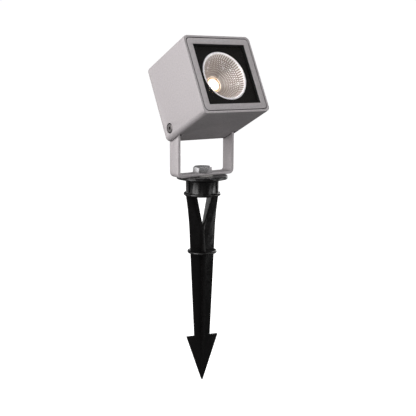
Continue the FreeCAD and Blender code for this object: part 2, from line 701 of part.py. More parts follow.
# ---------------------------------------------------------------- cable gland, drawn up the Z axis
def gland_at_rear(shape):
    return lay_back(shape, 0, GLAND_Z, REAR)


def gland_body():
    thread_length = COVER_T + LOCKNUT_T + THREAD_END
    shapes = [
        hexagon(GLAND_HEX, 0, GLAND_HEX_T),
        rod(GLAND_THREAD_R, -thread_length, 0, UP),
        rod(GLAND_STUB_R, GLAND_HEX_T, STUB_END, UP),
    ]
    bore = rod(GLAND_BORE_R, -thread_length - 1, STUB_END + 1, UP)
    seal_seat = rod(SEAL_R + SEAL_GAP, SEAL_START, STUB_END + 1, UP)
    return gland_at_rear(cut(fuse(shapes), [bore, seal_seat]))


def gland_seal():
    ring = rod(SEAL_R, SEAL_START, SEAL_END, UP)
    return gland_at_rear(ring.cut(rod(SEAL_BORE_R, SEAL_START - 1, SEAL_END + 1, UP)))


def gland_nut():
    start = GLAND_HEX_T + DOME_GAP
    end = start + DOME_LENGTH
    dome = rod(DOME_R, start, end, UP)
    dome = dome.makeFillet(DOME_ROUND, [e for e in dome.Edges if e.BoundBox.ZMin > end - TINY])
    tools = [
        rod(DOME_R - DOME_WALL, start - 1, STUB_END + DOME_RELIEF, UP),
        rod(SEAL_R + 2 * SEAL_GAP, start - 1, SEAL_END, UP),
        rod(SEAL_BORE_R + CABLE_HOLE_GAP, start, end + 1, UP),
    ]
    grip_at = DOME_R + GRIP_R - GRIP_DEPTH
    for i in range(GRIP_COUNT):
        angle = 2 * math.pi * i / GRIP_COUNT
        place = (grip_at * math.cos(angle), grip_at * math.sin(angle))
        tools.append(rod(GRIP_R, start - 1, end - DOME_ROUND, UP, *place))
    return gland_at_rear(cut(dome, tools))


def gland_locknut():
    nut = hexagon(LOCKNUT_HEX, -COVER_T - LOCKNUT_T, -COVER_T)
    bore = rod(GLAND_THREAD_R + THREAD_GAP, -COVER_T - LOCKNUT_T - 1, 0, UP)
    return gland_at_rear(nut.cut(bore))


# ---------------------------------------------------------------- yoke, drawn about the pivot
def yoke_bracket():
    half = BAR_W / 2
    bottom = -PIVOT_RISE
    outer = block(-ARM_OUT, ARM_OUT, -half, half, bottom, half)
    inner = block(-ARM_IN, ARM_IN, -half - 1, half + 1, bottom + BAR_T, half + 1)
    outer = outer.makeFillet(BEND_R, [e for e in outer.Edges if is_low_end(e, bottom)])
    inner = inner.makeFillet(BEND_R - BAR_T, [e for e in inner.Edges if is_low_end(e, bottom + BAR_T)])
    bar = outer.cut(inner)
    ends = fuse(
        [rod(half, -ARM_OUT, ARM_OUT, RIGHT), block(-ARM_OUT, ARM_OUT, -half, half, bottom, 0)]
    )
    bar = bar.common(ends)
    tools = [
        rod(M5[0] + THREAD_GAP, -HEAD_W, HEAD_W, RIGHT),
        rod(BOLT_R + PAN_RUNNING_GAP, bottom - 1, bottom + BAR_T + 1, UP),
    ]
    return cut(bar, tools)


def is_low_end(edge, z):
    return is_along_y(edge) and abs(edge.BoundBox.ZMin - z) < TINY


def pivot_screws():
    seat = HALF_W - COUNTERBORE_DEPTH + PIVOT_FACE_GAP
    one = screw(M5, seat - ARM_IN + SLOT_SIDE_GAP / 2)
    one.rotate(Vector(0, 0, 0), BACK, -90)
    one.translate(Vector(seat, 0, 0))
    return Part.makeCompound([one, mirror_x(one)])


def pivot_washers():
    ring = rod(PIVOT_WASHER_R, ARM_OUT, ARM_OUT + PIVOT_WASHER_T, RIGHT)
    ring = ring.cut(rod(M5[0] + THREAD_GAP, 0, HEAD_W, RIGHT))
    return Part.makeCompound([ring, mirror_x(ring)])


# ---------------------------------------------------------------- bolt, nut, washer and cap
def mounting_bolt():
    head = hexagon(HEX_FLATS, YOKE_TOP_OF_BASE, YOKE_TOP_OF_BASE + HEAD_HEIGHT, BOLT_TURN)
    crown = Part.makeCone(
        HEX_FLATS / math.sqrt(3) + 2.0,
        HEX_FLATS / 2 - HEAD_CHAMFER_W,
        HEAD_HEIGHT,
        Vector(0, 0, YOKE_TOP_OF_BASE),
    )
    body = rod(HEX_FLATS, YOKE_TOP_OF_BASE, YOKE_TOP_OF_BASE + HEAD_HEIGHT * HEAD_CHAMFER_FROM, UP)
    head = head.common(fuse([crown, body]))
    shank = rod(BOLT_R, BOLT_TIP, YOKE_TOP_OF_BASE, UP)
    return fuse([head, shank])


def friction_washer():
    ring = rod(FRICTION_R, FRICTION_BOTTOM, YOKE_BOTTOM, UP)
    return ring.cut(rod(BOLT_R + HOLE_GAP, FRICTION_BOTTOM - 1, YOKE_BOTTOM + 1, UP))


def captive_nut():
    nut = hexagon(HEX_FLATS, NUT_BOTTOM, NUT_TOP, BOLT_TURN)
    return nut.cut(rod(BOLT_R + THREAD_GAP, NUT_BOTTOM - 1, NUT_TOP + 1, UP))


def spike_cap():
    disc = rod(CAP_R, FLANGE_TOP, CAP_TOP, UP)
    rim = [edge for edge in disc.Edges if edge.BoundBox.ZMin > CAP_TOP - TINY]
    disc = disc.makeFillet(CAP_T * CAP_ROUND, rim)
    plug = rod(SOCKET_R - SOCKET_WALL - CAP_PLUG_GAP, CAP_PLUG_BOTTOM, FLANGE_TOP, UP)
    tools = [
        rod(FRICTION_R + HOLE_GAP, FRICTION_BOTTOM, CAP_TOP + 1, UP),
        rod(BOLT_R + HOLE_GAP, CAP_PLUG_BOTTOM - 1, CAP_TOP + 1, UP),
        hexagon(HEX_FLATS + 2 * HEX_GAP, CAP_PLUG_BOTTOM - 1, NUT_TOP, BOLT_TURN),
    ]
    return cut(fuse([disc, plug]), tools)


# ---------------------------------------------------------------- spike, drawn with its blade along X
def bead(radius, thickness, z):
    return Part.makeTorus(radius - thickness, thickness, Vector(0, 0, z), UP)


def socket():
    flange = rod(FLANGE_R, 0, FLANGE_T, UP)
    rim_r = FLANGE_R - FLANGE_RIM_W
    cone = Part.makeCone(SOCKET_R, rim_r, FLANGE_CONE_H, Vector(0, 0, CONE_BOTTOM))
    tube = rod(SOCKET_R, COLLAR_BOTTOM, 0, UP)
    shape = fuse([flange, cone, tube])
    for i in range(PANEL_COUNT):
        shape = shape.cut(socket_panel(PANEL_PHASE + 360 * i / PANEL_COUNT))
    shape = fuse([shape, bead(COLLAR_R, COLLAR_BEAD, COLLAR_MID)])
    hollow = rod(SOCKET_R - SOCKET_WALL, SOCKET_BOTTOM, FLANGE_TOP + 1, UP)
    bolt_room = rod(BOLT_R + HOLE_GAP, BOLT_TIP - BOLT_TIP_GAP, FLANGE_TOP + 1, UP)
    return cut(shape, [hollow, bolt_room])


def socket_panel(middle):
    """One shallow recess in the socket's wall, from under the cone to just above the collar."""
    low, high = SOCKET_BOTTOM + PANEL_MARGIN, CONE_BOTTOM - PANEL_MARGIN
    outer = Part.makeCylinder(SOCKET_R + 2, high - low, Vector(0, 0, low), UP, PANEL_ANGLE)
    inner = Part.makeCylinder(SOCKET_R - PANEL_DEPTH, high - low, Vector(0, 0, low), UP, 360)
    recess = outer.cut(inner)
    recess.rotate(Vector(0, 0, 0), UP, middle - PANEL_ANGLE / 2)
    return recess


def blade():
    """The flat blade: legs that curve in from the collar, a tapered shaft and the arrowhead."""
    corners = [
        (LEG_JOIN_HALF, -LEG_JOIN_DROP),
        (SHAFT_HALF, -BARB_DROP),
        (BARB_HALF, -BARB_DROP),
        (TIP_HALF, -TIP_DROP),
        (-TIP_HALF, -TIP_DROP),
        (-BARB_HALF, -BARB_DROP),
        (-SHAFT_HALF, -BARB_DROP),
        (-LEG_JOIN_HALF, -LEG_JOIN_DROP),
    ]
    top = [
        (-LEG_SPREAD, COLLAR_BOTTOM),
        (-LEG_SPREAD, COLLAR_MID),
        (LEG_SPREAD, COLLAR_MID),
        (LEG_SPREAD, COLLAR_BOTTOM),
    ]
    edges = [leg_edge(1)] + lines_xz(corners) + [leg_edge(-1)] + lines_xz(top)
    face = Part.Face(Part.Wire(edges))
    face.translate(Vector(0, -BLADE_T / 2, 0))
    return face.extrude(Vector(0, BLADE_T, 0))


def leg_edge(side):
    """The outer edge of one leg, from the collar down on the right and back up on the left."""
    bulge_z = (COLLAR_BOTTOM - LEG_JOIN_DROP) / 2 - LEG_SAG
    points = [(LEG_SPREAD, COLLAR_BOTTOM), (LEG_BULGE, bulge_z), (LEG_JOIN_HALF, -LEG_JOIN_DROP)]
    if side < 0:
        points.reverse()
    return Part.Arc(*[Vector(side * x, 0, z) for x, z in points]).toShape()


def lines_xz(points):
    path = [Vector(x, 0, z) for x, z in points]
    return [Part.makeLine(a, b) for a, b in zip(path, path[1:])]


def v_wedge(extra, top):
    """The wedge between the legs, up to a height, widened by extra on each side."""
    slope = CROTCH_HALF / (CROTCH_DROP + COLLAR_BOTTOM)
    half = slope * (CROTCH_DROP + top) + extra
    points = [(-half, top), (half, top), (0, -CROTCH_DROP - extra / slope)]
    return polygon_xz(points, -SOCKET_R, SOCKET_R)


def ribs():
    """Ribs that cross the blade: one along each side of the V, meeting in one down to the tip."""
    seen_from_front = fuse(
        [
            v_wedge(RIB_T, COLLAR_MID),
            block(
                -RIB_T / 2, RIB_T / 2, -SOCKET_R, SOCKET_R, -TIP_DROP + TIP_PLAIN, -CROTCH_DROP - RIB_T
            ),
        ]
    )
    half = [
        (FLANGE_REACH, COLLAR_MID),
        (CROTCH_REACH, -CROTCH_DROP),
        (RIB_REACH, -RING_DROP),
        (RIB_REACH - RIB_TAPER, -BARB_DROP),
        (HEAD_RIB_REACH, -BARB_DROP - HEAD_RIB_RAMP),
        (BLADE_T / 4, -TIP_DROP + TIP_PLAIN / 2),
    ]
    seen_from_side = polygon_yz(half + [(-y, z) for y, z in reversed(half)], -SOCKET_R, SOCKET_R)
    return seen_from_front.common(seen_from_side)


def spike_body():
    web = rod(RING_R - RING_BEAD, -RING_DROP - RING_WEB_T / 2, -RING_DROP + RING_WEB_T / 2, UP)
    ring = bead(RING_R, RING_BEAD, -RING_DROP)
    legs = fuse([blade(), ribs()]).cut(v_wedge(0, COLLAR_BOTTOM))
    return fuse([socket(), legs, web, ring])


# ---------------------------------------------------------------- the assembly
HEAD_NODES = {
    "housing": housing,
    "front_bezel": front_bezel,
    "bezel_screws": bezel_screws,
    "front_glass": front_glass,
    "glass_gasket": glass_gasket,
    "baffle_plate": baffle_plate,
    "reflector": reflector,
    "led_holder": led_holder,
    "led_holder_screws": led_holder_screws,
    "led_emitter": emitter,
    "led_board": led_board,
    "thermal_pad": thermal_pad,
    "heat_sink": heat_sink,
    "heat_sink_screws": heat_sink_screws,
    "rear_cover": rear_cover,
    "rear_gasket": rear_gasket,
    "rear_cover_screws": rear_cover_screws,
    "driver_module": driver_module,
    "driver_screws": driver_screws,
    "terminal_block": terminal_block,
    "terminal_screw": terminal_screw,
    "gland_body": gland_body,
    "gland_seal": gland_seal,
    "gland_nut": gland_nut,
    "gland_locknut": gland_locknut,
}
YOKE_NODES = {
    "yoke_bracket": yoke_bracket,
    "pivot_screws": pivot_screws,
    "pivot_washers": pivot_washers,
}
SPIKE_NODES = {
    "spike_body": spike_body,
    "spike_cap": spike_cap,
    "captive_nut": captive_nut,
    "friction_washer": friction_washer,
}
BOLT_NODES = {
    "mounting_bolt": mounting_bolt,
}


def export(nodes, place):
    for name, make in nodes.items():
        place(make()).exportStep(f"parts/{name}.step")


os.makedirs("parts", exist_ok=True)
export(HEAD_NODES, place_head)
export(YOKE_NODES, place_yoke)
export(SPIKE_NODES, place_spike)
export(BOLT_NODES, lambda shape: shape)
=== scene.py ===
import json
import math

import bmesh
import bpy
from mathutils import Matrix, Vector


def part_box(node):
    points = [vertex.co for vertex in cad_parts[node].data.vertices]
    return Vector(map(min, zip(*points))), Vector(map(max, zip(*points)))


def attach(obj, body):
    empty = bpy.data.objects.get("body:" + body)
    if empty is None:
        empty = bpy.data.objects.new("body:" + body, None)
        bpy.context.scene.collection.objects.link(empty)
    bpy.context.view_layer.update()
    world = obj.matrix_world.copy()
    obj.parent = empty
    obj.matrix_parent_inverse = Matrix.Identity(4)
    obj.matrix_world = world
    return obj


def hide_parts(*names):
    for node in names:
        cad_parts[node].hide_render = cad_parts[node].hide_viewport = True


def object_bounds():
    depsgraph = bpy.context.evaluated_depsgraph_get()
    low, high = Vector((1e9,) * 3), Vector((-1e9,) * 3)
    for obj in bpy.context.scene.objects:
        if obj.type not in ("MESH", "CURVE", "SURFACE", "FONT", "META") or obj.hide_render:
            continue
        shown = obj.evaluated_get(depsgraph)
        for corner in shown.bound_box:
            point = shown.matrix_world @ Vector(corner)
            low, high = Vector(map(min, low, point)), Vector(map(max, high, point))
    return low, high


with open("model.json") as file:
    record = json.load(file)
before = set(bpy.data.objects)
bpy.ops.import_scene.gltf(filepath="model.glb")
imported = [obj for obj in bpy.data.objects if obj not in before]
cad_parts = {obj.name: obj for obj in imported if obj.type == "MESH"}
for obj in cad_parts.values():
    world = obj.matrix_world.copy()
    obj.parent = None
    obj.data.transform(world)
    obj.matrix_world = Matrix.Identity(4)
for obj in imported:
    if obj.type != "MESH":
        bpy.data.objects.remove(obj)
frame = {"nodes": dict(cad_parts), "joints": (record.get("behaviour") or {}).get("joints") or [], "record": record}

MM = 0.001
UP = Vector((0, 0, 1))
cad_box = [list(corner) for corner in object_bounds()]
nodes = frame["nodes"]
joints = {joint["name"]: joint for joint in frame["joints"]}
scene = bpy.context.scene

# ---------------------------------------------------------------- the frames that pieces are drawn in
# The head is drawn level about its own pivot, facing -Y, then tilted nose up as the CAD has it.
PIVOT = Vector(joints["head_tilt"]["pos_m"])
REST_TILT = -math.radians(joints["head_tilt"]["range_deg"][0])
HEAD = Matrix.Translation(PIVOT) @ Matrix.Rotation(-REST_TILT, 4, "X")
LEVEL = HEAD.inverted()


def level_box(node):
    """Lowest and highest corners of a CAD node in the level head's frame."""
    points = [LEVEL @ vertex.co for vertex in nodes[node].data.vertices]
    low = Vector([min(point[i] for point in points) for i in range(3)])
    high = Vector([max(point[i] for point in points) for i in range(3)])
    return low, high


# ---------------------------------------------------------------- camera
CAMERA_AZIMUTH = math.radians(-36.66)
CAMERA_ELEVATION = math.radians(10.44)
CAMERA_ROLL = math.radians(0.25)
CAMERA_DISTANCE = 0.781
CAMERA_TARGET = Vector((0.00745, 0.0, PIVOT.z - 0.0846))
CAMERA_LENS = 65.11
CLIP_START = 0.01


def make_camera():
    back = Vector(
        (
            math.sin(CAMERA_AZIMUTH) * math.cos(CAMERA_ELEVATION),
            -math.cos(CAMERA_AZIMUTH) * math.cos(CAMERA_ELEVATION),
            math.sin(CAMERA_ELEVATION),
        )
    )
    side = (-back).cross(UP).normalized()
    top = side.cross(-back)
    right = math.cos(CAMERA_ROLL) * side + math.sin(CAMERA_ROLL) * top
    up = -math.sin(CAMERA_ROLL) * side + math.cos(CAMERA_ROLL) * top
    data = bpy.data.cameras.new("camera")
    data.lens = CAMERA_LENS
    data.clip_start = CLIP_START
    camera = bpy.data.objects.new("camera", data)
    turn = Matrix((right, up, back)).transposed().to_4x4()
    camera.matrix_world = Matrix.Translation(CAMERA_TARGET + back * CAMERA_DISTANCE) @ turn
    scene.collection.objects.link(camera)
    scene.camera = camera


# ---------------------------------------------------------------- light and floor
WORLD_LIGHT = 0.10              # strength of the world as the object sees it
BACKDROP_LIGHT = 1.02           # and as the camera sees it
FLOOR_HALF = 40.0               # half its width, in metres
FLOOR_GAP = 0.0005              # below the spike's tip
FLOOR_GLOW = 1.0


def area_light(name, place, aim, size, power, colour=(1, 1, 1)):
    data = bpy.data.lights.new(name, "AREA")
    data.shape = "RECTANGLE"
    data.size, data.size_y = size
    data.energy = power
    data.color = colour
    lamp = bpy.data.objects.new(name, data)
    lamp.location = place
    lamp.rotation_euler = (Vector(aim) - Vector(place)).to_track_quat("-Z", "Y").to_euler()
    lamp.visible_camera = False
    scene.collection.objects.link(lamp)


def make_lights():
    aim = (0, 0, 0.02)
    area_light("key_left", (-1.15, -0.05, 0.3), aim, (0.8, 1.1), 15.4, (1.0, 0.985, 0.985))
    area_light("back_left", (-0.8, 0.85, 0.25), aim, (0.6, 0.8), 1.6)
    area_light("front_left", (-0.85, -0.8, 0.5), aim, (0.6, 0.9), 3.2)
    area_light("front_fill", (0.3, -1.3, 0.75), aim, (0.9, 0.7), 2.6)
    area_light("front_right", (1.1, -0.7, -0.05), aim, (0.7, 0.3), 3.4)
    area_light("front_strip", (0.42, -1.2, 0.02), (0, 0, -0.03), (0.18, 0.42), 1.3)
    area_light("top_soft", (0.1, 0.1, 1.2), aim, (1.0, 1.0), 7.0)
    area_light("back_low", (-0.08, 1.1, 0.0), (0, 0, -0.04), (0.4, 0.35), 0.5)
    area_light("back_right", (1.0, 0.6, 0.3), aim, (0.5, 1.2), 6.0)


def make_world():
    """White to the camera and dim to the object, so that the lamps shape it."""
    world = bpy.data.worlds.new("studio")
    world.use_nodes = True
    tree = world.node_tree
    dim = tree.nodes["Background"]
    white = tree.nodes.new("ShaderNodeBackground")
    for background, strength in ((dim, WORLD_LIGHT), (white, BACKDROP_LIGHT)):
        background.inputs["Color"].default_value = (1.0, 1.0, 1.0, 1.0)
        background.inputs["Strength"].default_value = strength
    path = tree.nodes.new("ShaderNodeLightPath")
    mix = tree.nodes.new("ShaderNodeMixShader")
    tree.links.new(path.outputs["Is Camera Ray"], mix.inputs[0])
    tree.links.new(dim.outputs[0], mix.inputs[1])
    tree.links.new(white.outputs[0], mix.inputs[2])
    tree.links.new(mix.outputs[0], tree.nodes["World Output"].inputs["Surface"])
    scene.world = world
    scene.view_settings.view_transform = "Standard"


def make_floor():
    """A wide sheet of white paper that lights itself, so that it meets the backdrop unseen."""
    size = FLOOR_HALF
    z = cad_box[0][2] - FLOOR_GAP
    mesh = bpy.data.meshes.new("floor")
    corners = [(-size, -size, z), (size, -size, z), (size, size, z), (-size, size, z)]
    mesh.from_pydata(corners, [], [(0, 1, 2, 3)])
    floor = bpy.data.objects.new("floor", mesh)
    scene.collection.objects.link(floor)
    surface = Surface("floor_paper", (0.5, 0.5, 0.5), roughness=0.95)
    surface.bump(surface.noise(300, 3), 0.0003, 0.2)
    surface.set("Emission Color", (1.0, 1.0, 1.0, 1.0))
    surface.set("Emission Strength", FLOOR_GLOW)
    mesh.materials.append(surface.material)
    floor.visible_diffuse = False
    floor.visible_glossy = False


# ---------------------------------------------------------------- materials
CREVICE_SHADE_REACH = 2.0 * MM        # gaps narrower than this get painted shade
GLOW_START = 8.0 * MM           # from the lamp, where the bowl's painted glow begins
GLOW_FULL = 30.0 * MM
LAMP_GLOW = 18.0                # emission of the lamp's middle
LAMP_EDGE_GLOW = 1.5
LAMP_CORE = 0.62                # of its radius, white all over
GROOVE_BEND = 0.482             # pointiness in a hollow, where a flat surface has 0.5
CREST_BEND = 0.528              # and on a crest


class Surface:
    """A principled material that is built up one layer at a time, in object coordinates."""

    def __init__(self, name, colour, roughness=0.5, metallic=0.0):
        self.material = bpy.data.materials.new(name)
        self.material.use_nodes = True
        self.tree = self.material.node_tree
        self.shader = self.tree.nodes["Principled BSDF"]
        self.set("Base Color", (*colour, 1.0))
        self.set("Roughness", roughness)
        self.set("Metallic", metallic)
        self.colour = colour
        self.normal = None
        self.place = self.new("ShaderNodeTexCoord").outputs["Object"]

    def new(self, kind):
        return self.tree.nodes.new(kind)

    def link(self, start, end):
        self.tree.links.new(start, end)

    def set(self, name, value):
        self.shader.inputs[name].default_value = value

    def noise(self, scale, detail=2.0, stretch=None):
        node = self.new("ShaderNodeTexNoise")
        node.inputs["Scale"].default_value = scale
        node.inputs["Detail"].default_value = detail
        place = self.place
        if stretch:
            mapping = self.new("ShaderNodeMapping")
            mapping.inputs["Scale"].default_value = stretch
            self.link(place, mapping.inputs["Vector"])
            place = mapping.outputs["Vector"]
        self.link(place, node.inputs["Vector"])
        return node.outputs["Fac"]

    def ramp(self, fac, low, high, start=0.0, end=1.0):
        """From low to high as fac goes from start to end, and no further."""
        node = self.new("ShaderNodeMapRange")
        node.inputs["From Min"].default_value = start
        node.inputs["From Max"].default_value = end
        node.inputs["To Min"].default_value = low
        node.inputs["To Max"].default_value = high
        self.link(fac, node.inputs["Value"])
        return node.outputs["Result"]

    def math(self, operation, first, second):
        node = self.new("ShaderNodeMath")
        node.operation = operation
        for socket, value in zip(node.inputs, (first, second)):
            if isinstance(value, float):
                socket.default_value = value
            else:
                self.link(value, socket)
        return node.outputs["Value"]

    def distance(self, centre):
        """How far a point of the surface is from centre."""
        node = self.new("ShaderNodeVectorMath")
        node.operation = "DISTANCE"
        node.inputs[1].default_value = centre
        self.link(self.place, node.inputs[0])
        return node.outputs["Value"]

    def vary_colour(self, fac, amount):
        """Lighter and darker patches of the base colour, by amount either way."""
        node = self.new("ShaderNodeMix")
        node.data_type = "RGBA"
        node.inputs["A"].default_value = (*[c * (1 - amount) for c in self.colour], 1.0)
        node.inputs["B"].default_value = (*[min(1.0, c * (1 + amount)) for c in self.colour], 1.0)
        self.link(fac, node.inputs["Factor"])
        self.link(node.outputs["Result"], self.shader.inputs["Base Color"])
        return node.outputs["Result"]

    def paint_crevice_shade(self, colour, reach):
        """Painted shade where another surface stands closer than reach, as in the groove round the bezel."""
        node = self.new("ShaderNodeAmbientOcclusion")
        node.samples = 8
        node.inputs["Distance"].default_value = reach
        self.link(colour, node.inputs["Color"])
        self.link(node.outputs["Color"], self.shader.inputs["Base Color"])

    def vary_roughness(self, fac, low, high):
        """Duller and shinier patches; a noise seldom leaves the range 0.3 to 0.7."""
        self.link(self.ramp(fac, low, high, 0.3, 0.7), self.shader.inputs["Roughness"])

    def bump(self, fac, distance, strength):
        node = self.new("ShaderNodeBump")
        node.inputs["Distance"].default_value = distance
        node.inputs["Strength"].default_value = strength
        self.link(fac, node.inputs["Height"])
        if self.normal:
            self.link(self.normal, node.inputs["Normal"])
        self.normal = node.outputs["Normal"]
        self.link(self.normal, self.shader.inputs["Normal"])


def powder_coat(name, colour):
    """Fine-textured powder coat with a little metallic sparkle."""
    surface = Surface(name, colour, roughness=0.5, metallic=0.15)
    grain = surface.noise(1400, 2)
    mottle = surface.noise(650, 3)
    fine = surface.math("MULTIPLY", grain, 0.4)
    coarse = surface.math("MULTIPLY", mottle, 0.6)
    both = surface.math("ADD", fine, coarse)
    paint = surface.vary_colour(surface.ramp(both, 0, 1, 0.36, 0.64), 0.10)
    # painted shade in gaps and crevices, by ambient occlusion over the paint colour
    surface.paint_crevice_shade(paint, CREVICE_SHADE_REACH)
    surface.vary_roughness(surface.noise(500, 2), 0.42, 0.6)
    surface.bump(mottle, 0.0004, 0.3)
    surface.bump(grain, 0.00012, 0.4)
    return surface.material


def black_plastic(name, colour, roughness):
    """Moulded plastic with a faint flow pattern and a fine grain."""
    surface = Surface(name, colour, roughness=roughness)
    surface.set("Specular IOR Level", 0.42)
    surface.vary_colour(surface.noise(60, 3), 0.25)
    surface.vary_roughness(surface.noise(180, 3), roughness * 0.75, roughness * 1.3)
    surface.bump(surface.noise(260, 3, (1, 1, 0.3)), 0.0002, 0.18)
    surface.bump(surface.noise(2200, 2), 0.00005, 0.2)
    return surface.material


def machined_metal(name, colour, roughness, stretch):
    """Bare metal with fine tool marks, drawn out along an axis by stretch."""
    surface = Surface(name, colour, roughness=roughness, metallic=1.0)
    streaks = surface.noise(900, 3, stretch)
    surface.vary_colour(surface.noise(250, 2), 0.08)
    surface.vary_roughness(streaks, roughness * 0.7, roughness * 1.3)
    surface.bump(streaks, 0.00002, 0.12)
    return surface.material


def reflector_metal(name, colour, metallic, roughness, groove, lamp, glow):
    """Vacuum-metallised plastic: a soft mirror over a pale base, with painted shade in its grooves.

    A faint emission, a painted glow, stands for the lamp's light thrown back. It grows towards the rim.
    """
    surface = Surface(name, colour, roughness=roughness, metallic=metallic)
    bend = surface.new("ShaderNodeNewGeometry").outputs["Pointiness"]
    # pointiness finds the hollows between flutes and facets; they get a painted shade, dark warm brown
    crest = surface.ramp(bend, 0.0, 1.0, GROOVE_BEND, CREST_BEND)
    speck = surface.ramp(surface.noise(120, 3), -0.1, 0.1)
    groove_shade_tint = surface.new("ShaderNodeMix")
    groove_shade_tint.data_type = "RGBA"
    groove_shade_tint.inputs["A"].default_value = (*groove, 1.0)
    groove_shade_tint.inputs["B"].default_value = (*colour, 1.0)
    surface.link(surface.math("ADD", crest, speck), groove_shade_tint.inputs["Factor"])
    surface.link(groove_shade_tint.outputs["Result"], surface.shader.inputs["Base Color"])
    surface.link(groove_shade_tint.outputs["Result"], surface.shader.inputs["Emission Color"])
    # painted glow: emission growing with the distance from the lamp
    painted_glow = surface.ramp(surface.distance(lamp), *glow, GLOW_START, GLOW_FULL)
    surface.link(painted_glow, surface.shader.inputs["Emission Strength"])
    surface.vary_roughness(surface.noise(400, 2), roughness * 0.8, roughness * 1.25)
    surface.bump(surface.noise(900, 2), 0.00003, 0.15)
    return surface.material


def dull(name, colour, roughness, grain_scale, specular=0.5):
    """Rubber, ceramic, silicone and plain moulded plastic."""
    surface = Surface(name, colour, roughness=roughness)
    surface.set("Specular IOR Level", specular)
    surface.vary_colour(surface.noise(grain_scale / 8, 2), 0.12)
    surface.vary_roughness(surface.noise(grain_scale / 3, 2), roughness * 0.85, min(1.0, roughness * 1.15))
    surface.bump(surface.noise(grain_scale, 2), 0.00008, 0.25)
    return surface.material


def clear_glass(name):
    """A mirror that lets nearly everything through when seen straight on, and little at a slant."""
    surface = Surface(name, (0.96, 0.95, 0.94), roughness=0.02, metallic=1.0)
    slant = surface.new("ShaderNodeLayerWeight")
    slant.inputs["Blend"].default_value = 0.5
    steep = surface.math("POWER", slant.outputs["Facing"], 5.0)
    mirror = surface.ramp(steep, 0.02, 1.0)
    smear = surface.ramp(surface.noise(40, 3), 0.85, 1.15)
    surface.link(surface.math("MULTIPLY", mirror, smear), surface.shader.inputs["Alpha"])
    return surface.material


def lit_phosphor(name, centre, radius):
    """A glowing disc, white in the middle and amber at its edge."""
    surface = Surface(name, (1.0, 0.72, 0.3), roughness=0.6)
    edge = surface.ramp(surface.distance(centre), 0.0, 1.0, radius * LAMP_CORE, radius)
    grain = surface.ramp(surface.noise(700, 2), -0.12, 0.12)
    glow = surface.new("ShaderNodeMix")
    glow.data_type = "RGBA"
    glow.inputs["A"].default_value = (1.0, 0.90, 0.80, 1.0)
    glow.inputs["B"].default_value = (1.0, 0.50, 0.16, 1.0)
    surface.link(surface.math("ADD", edge, grain), glow.inputs["Factor"])
    surface.link(glow.outputs["Result"], surface.shader.inputs["Emission Color"])
    strength = surface.ramp(edge, LAMP_GLOW, LAMP_EDGE_GLOW)
    surface.link(strength, surface.shader.inputs["Emission Strength"])
    return surface.material


def make_materials():
    grey = (0.455, 0.427, 0.436)
    low, high = [Vector(corner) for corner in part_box("led_emitter")]
    lamp = (low + high) / 2
    finishes = {
        "grey_powder_coat": (powder_coat, grey),
        "yoke_paint": (powder_coat, grey),
        # darker base than bare stainless: painted shade for the shadowed counterbores round the pivot screws
        "stainless_steel": (machined_metal, (0.22, 0.205, 0.205), 0.34, (1, 1, 6)),
        "zinc_steel": (machined_metal, (0.82, 0.81, 0.82), 0.3, (4, 4, 1)),
        "bare_aluminium": (machined_metal, (0.75, 0.75, 0.76), 0.35, (1, 1, 8)),
        "clear_glass": (clear_glass,),
        # painted shade in the grooves, and a painted glow from 0 near the lamp to 0.34 away from it
        "reflector_metal": (
            reflector_metal, (1.0, 0.99, 1.0), 0.6, 0.2, (0.13, 0.075, 0.035), lamp, (0.0, 0.34)
        ),
        # the rim also has a faint painted glow
        "reflector_rim": (
            reflector_metal, (1.0, 0.97, 1.0), 0.1, 0.25, (0.85, 0.82, 0.85), lamp, (0.1, 0.13)
        ),
        "led_phosphor": (lit_phosphor, lamp, (high - low).x / 2),
        "led_ceramic": (dull, (0.88, 0.88, 0.86), 0.5, 900),
        "holder_plastic": (dull, (0.85, 0.85, 0.83), 0.45, 900),
        "thermal_silicone": (dull, (0.45, 0.5, 0.55), 0.7, 900),
        "black_silicone": (dull, (0.02, 0.02, 0.02), 0.7, 1500),
        "black_plate": (dull, (0.004, 0.0028, 0.0025), 0.8, 2500, 0.18),
        "driver_plastic": (dull, (0.05, 0.05, 0.055), 0.5, 900),
        "terminal_plastic": (dull, (0.8, 0.8, 0.78), 0.45, 900),
        "gland_rubber": (dull, (0.02, 0.02, 0.02), 0.75, 1200),
        "gland_plastic": (black_plastic, (0.02, 0.02, 0.021), 0.42),
        "black_plastic": (black_plastic, (0.0035, 0.0031, 0.0032), 0.27),
        "nylon": (dull, (0.75, 0.75, 0.7), 0.5, 900),
    }
    return {name: make(name, *facts) for name, (make, *facts) in finishes.items()}


def paint_nodes(materials):
    for part in frame["record"]["subparts"]:
        mesh = nodes[part["node"]].data
        mesh.materials.clear()
        mesh.materials.append(materials[part["material_slot"]])


# ---------------------------------------------------------------- pieces
SAME_PLACE = 1e-6
FLAT_ENOUGH = math.radians(0.2)
EDGE_ANGLE = math.radians(25)
EDGE_SEGMENTS = 3
SOFTENED = [
    # node, piece, body, slot, width of the rounded edges in mm
    ("housing", "housing_casting", "head", "grey_powder_coat", 0.2),
    ("front_bezel", "bezel_frame", "head", "grey_powder_coat", 0.25),
    ("rear_cover", "rear_plate", "head", "grey_powder_coat", 0.3),
    ("gland_body", "gland_hexagon", "head", "gland_plastic", 0.25),
    ("gland_nut", "gland_dome", "head", "gland_plastic", 0.2),
    ("yoke_bracket", "yoke_strap", "yoke", "yoke_paint", 0.4),
    ("spike_body", "spike_moulding", "spike", "black_plastic", 0.3),
    ("spike_cap", "spike_lid", "spike", "black_plastic", 0.15),
    ("mounting_bolt", "hex_bolt", "spike", "zinc_steel", 0.12),
]


def new_piece(name, mesh, body, slot, material, *replaced):
    piece = bpy.data.objects.new(name, mesh)
    scene.collection.objects.link(piece)
    mesh.materials.clear()
    mesh.materials.append(material)
    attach(piece, body)
    if replaced:
        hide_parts(*replaced)
    return piece


